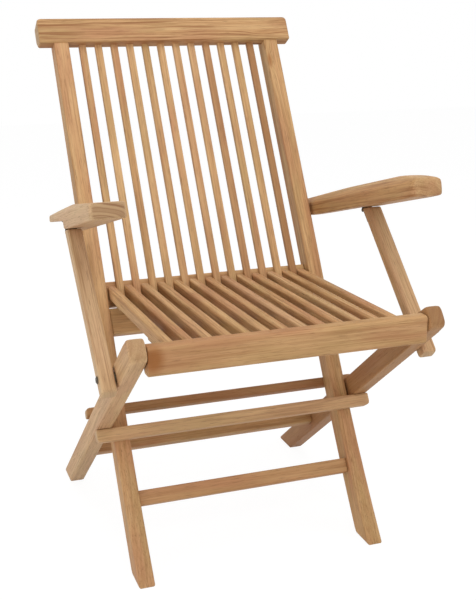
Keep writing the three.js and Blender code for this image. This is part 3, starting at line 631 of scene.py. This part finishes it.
def make_teak():
    """Oiled teak: growth rings round the plank's heart, streaks and pores along it, and its end grain."""
    shader = Shader(bpy.data.materials.new("oiled_teak"))
    grain = shader.attribute("grain", "Vector")
    depth, redness, figure = shader.parts(shader.attribute("tone", "Vector"))
    end_depth, end_figure, end_share = shader.parts(shader.attribute("end_tone", "Vector"))
    knot_lift, knot_dark, _ = shader.parts(shader.attribute("knot_tone", "Vector"))
    knot = shader.length(shader.stretched(shader.attribute("knot", "Vector"), KNOT_STRETCH))
    knot = 1 / (1 + (knot / KNOT_REACH) ** 2) ** 2
    end = shader.smooth(shader.attribute("end_grain", "Fac"), *END_STEP)

    lengthwise, radius = ring_radius(shader, grain, knot * knot_lift)
    rings = shader.noise(shader.joined(radius / RING_WIDTH, lengthwise * RING_BREAKS))
    rings = shader.smooth(rings, *RING_STEP)
    strength = shader.noise(shader.stretched(grain, STRENGTH_STRETCH), detail=1)
    strength = shader.smooth(strength, *STRENGTH_STEP)
    streaks = shader.noise(shader.stretched(grain, STREAK_STRETCH), 1, STREAK_DETAIL, STREAK_ROUGHNESS)
    pores = shader.noise(shader.stretched(grain, PORE_STRETCH), detail=1)
    pores = shader.smooth(pores, *PORE_STEP)

    ring_share = (RING_LEAST_SHARE + figure * RING_FIGURE_SHARE) * (RING_FAINTEST_SHARE + strength)
    streak_share = STREAK_LEAST_SHARE + figure * STREAK_FIGURE_SHARE
    base = plain_teak(shader, grain, depth, redness)
    base = shader.mix(rings * ring_share, base, RING_BROWN)
    base = shader.mix(shader.smooth(streaks, *STREAK_STEP) * streak_share, base, RING_BROWN)
    base = shader.mix(pores * PORE_SHARE, base, PORE_BROWN)
    base = shader.mix(end * end_share, base, end_colour(shader, lengthwise, radius, end_depth, end_figure))
    base = marked(shader, base, knot, knot_dark)

    relief = streaks * STREAK_RELIEF - pores * PORE_RELIEF + rings * RING_RELIEF
    bump = shader.add("ShaderNodeBump", {},
                      {"Strength": TEAK_BUMP, "Distance": TEAK_BUMP_DEPTH, "Height": relief})
    roughness = TEAK_ROUGHNESS + streaks * STREAK_ROUGHENING + pores * PORE_ROUGHENING
    surface = shader.add("ShaderNodeBsdfPrincipled", {}, {
        "Base Color": base, "Roughness": roughness, "Normal": bump, "Specular IOR Level": TEAK_SHINE})
    return shader.close("ShaderNodeOutputMaterial", surface)


STEEL_DARK = colour(78, 70, 58)
STEEL_LIGHT = colour(106, 97, 82)
SPOT_SCALE, SPOT_DETAIL, SPOT_ROUGHNESS = 420, 3, 0.6
SPOT_STEP = (0.35, 0.7)
SCRATCH_STRETCH = (300, 2600, 2600)
STEEL_BUMP, STEEL_BUMP_DEPTH = 0.2, 0.2 * MM
STEEL_METALLIC = 0.7
STEEL_ROUGHNESS, SPOT_ROUGHENING = 0.42, 0.22


def make_steel():
    """Dull steel, with fine scratches and small darker spots."""
    shader = Shader(bpy.data.materials.new("dull_steel"))
    where = shader.add("ShaderNodeTexCoord", {}, {}, "Object")
    spots = shader.noise(where, SPOT_SCALE, SPOT_DETAIL, SPOT_ROUGHNESS)
    scratches = shader.noise(shader.stretched(where, SCRATCH_STRETCH))
    base = shader.mix(shader.smooth(spots, *SPOT_STEP), STEEL_DARK, STEEL_LIGHT)
    bump = shader.add("ShaderNodeBump", {},
                      {"Strength": STEEL_BUMP, "Distance": STEEL_BUMP_DEPTH, "Height": scratches})
    surface = shader.add("ShaderNodeBsdfPrincipled", {}, {
        "Base Color": base, "Metallic": STEEL_METALLIC,
        "Roughness": STEEL_ROUGHNESS + spots * SPOT_ROUGHENING, "Normal": bump})
    return shader.close("ShaderNodeOutputMaterial", surface)


# The chair

def body_of(node):
    """The name of the CAD body that a node belongs to."""
    return NODES[node]["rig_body"]


def stand_in(piece, node, material):
    """Puts a finished piece in its CAD node's place, on the same body."""
    piece.data.materials.append(material)
    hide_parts(node)
    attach(piece, body_of(node))


def best(table, node, fallback):
    """The entry of the table whose name starts the node's name at the greatest length."""
    names = [name for name in table if node.startswith(name)]
    return table[max(names, key=len)] if names else fallback


def wooden(node, material, draw):
    """A wooden piece: trimmed, rounded, and sawn from a plank of its own."""
    piece = copy_of(node, node + "_teak")
    along = longest_edge(piece.data)
    if along.dot(GRAIN_AHEAD) < 0:
        along = -along
    trim(piece, node, along)
    if node in END_RUBS:
        rub_smooth(piece, along, *END_RUBS[node])
    else:
        round_edges(piece, best(EDGES, node, WOOD_EDGE))
    axes = grain_frame(along)
    plank = best(PLANKS, node, Plank())
    lay_grain(piece.data, axes, plank, draw)
    lay_tones(piece.data, plank, draw)
    lay_ends(piece.data, axes, plank)
    stand_in(piece, node, material)


def steel_part(node, material):
    """A bolt with its edges broken, or a hinge leaf."""
    piece = copy_of(node, node + "_steel")
    if "bolt" in node:
        round_edges(piece, STEEL_EDGE)
    else:
        bpy.ops.object.shade_smooth_by_angle(angle=SMOOTH_ANGLE)
    stand_in(piece, node, material)


def is_steel(node):
    """Whether a node is a bolt or a hinge leaf."""
    return "bolt" in node or "leaf" in node


# The studio

def place_camera():
    """Sets the camera to the photograph's place, angle and framing."""
    forward = Vector((math.sin(CAMERA_YAW) * math.cos(CAMERA_PITCH),
                      math.cos(CAMERA_YAW) * math.cos(CAMERA_PITCH), -math.sin(CAMERA_PITCH)))
    level = Vector((math.cos(CAMERA_YAW), -math.sin(CAMERA_YAW), 0))
    upright = level.cross(forward)
    right = level * math.cos(CAMERA_ROLL) + upright * math.sin(CAMERA_ROLL)
    up = upright * math.cos(CAMERA_ROLL) - level * math.sin(CAMERA_ROLL)
    lens = bpy.data.cameras.new("camera")
    lens.sensor_width = SENSOR_MM
    lens.lens = FOCAL_PIXELS * SENSOR_MM / PHOTO_HEIGHT
    lens.shift_x = (PHOTO_WIDTH / 2 - AXIS_U) / PHOTO_HEIGHT
    lens.shift_y = (AXIS_V - PHOTO_HEIGHT / 2) / PHOTO_HEIGHT
    camera = bpy.data.objects.new("camera", lens)
    bpy.context.scene.collection.objects.link(camera)
    turn = Matrix((right, up, -forward)).transposed().to_4x4()
    camera.matrix_world = Matrix.Translation(CAMERA_AT) @ turn
    bpy.context.scene.camera = camera


LAMPS = (
    # name, place, size, watts
    ("key", (-0.7, -2.8, 2.2), 2.0, 21),
    ("left", (-2.8, -0.9, 0.6), 2.0, 18),
    ("fill", (2.4, -1.6, 1.6), 2.2, 14),
    ("top", (0.1, -0.5, 3.2), 2.4, 32),
)
LAMPS_AIM = Vector((0, 0, 0.4))
WHITE = (1, 1, 1, 1)
WORLD_LIGHT = 0.48


def place_lamps():
    """Hangs large soft lamps round the chair."""
    for name, place, size, watts in LAMPS:
        light = bpy.data.lights.new(name, "AREA")
        light.shape = "DISK"
        light.size = size
        light.energy = watts
        lamp = bpy.data.objects.new(name, light)
        lamp.location = place
        lamp.rotation_mode = "QUATERNION"
        lamp.rotation_quaternion = (LAMPS_AIM - Vector(place)).to_track_quat("-Z", "Y")
        bpy.context.scene.collection.objects.link(lamp)


def seen_directly(shader):
    """1 for camera, mirror and glass rays, 0 for light that reaches the object otherwise."""
    path = shader.add("ShaderNodeLightPath").socket.node
    eye, mirror, glass = (Signal(shader, path.outputs[name])
                          for name in ("Is Camera Ray", "Is Glossy Ray", "Is Transmission Ray"))
    return eye.larger(mirror).larger(glass)


def light_world():
    """A plain world: white where it is seen, and a soft even light elsewhere."""
    world = bpy.data.worlds.new("studio")
    bpy.context.scene.world = world
    shader = Shader(world)
    strength = seen_directly(shader) * (1 - WORLD_LIGHT) + WORLD_LIGHT
    back = shader.add("ShaderNodeBackground", {}, {"Color": WHITE, "Strength": strength})
    shader.close("ShaderNodeOutputWorld", back)


FLOOR_SIZE = 14
FLOOR_PLAIN = (0.9, 0.9, 0.9, 1)
FLOOR_WHITE_SHARE = 0.86
FLOOR_GLOW = 1.08


def lay_floor():
    """A white floor that keeps a faint shadow."""
    bpy.ops.object.select_all(action="DESELECT")
    bpy.ops.mesh.primitive_plane_add(size=FLOOR_SIZE)
    floor = bpy.context.active_object
    floor.name = "floor"
    shader = Shader(bpy.data.materials.new("white_floor"))
    plain = shader.add("ShaderNodeBsdfDiffuse", {}, {"Color": FLOOR_PLAIN})
    white = shader.add("ShaderNodeEmission", {}, {"Color": WHITE, "Strength": FLOOR_GLOW})
    share = seen_directly(shader) * FLOOR_WHITE_SHARE
    mixed = shader.add("ShaderNodeMixShader", {}, {0: share, 1: plain, 2: white})
    floor.data.materials.append(shader.close("ShaderNodeOutputMaterial", mixed))


draw = random.Random(SEED)
teak = make_teak()
steel = make_steel()
for node in sorted(NODES):
    if is_steel(node):
        steel_part(node, steel)
    else:
        wooden(node, teak, draw)

place_camera()
place_lamps()
light_world()
lay_floor()
bpy.context.scene.view_settings.view_transform = "Standard"
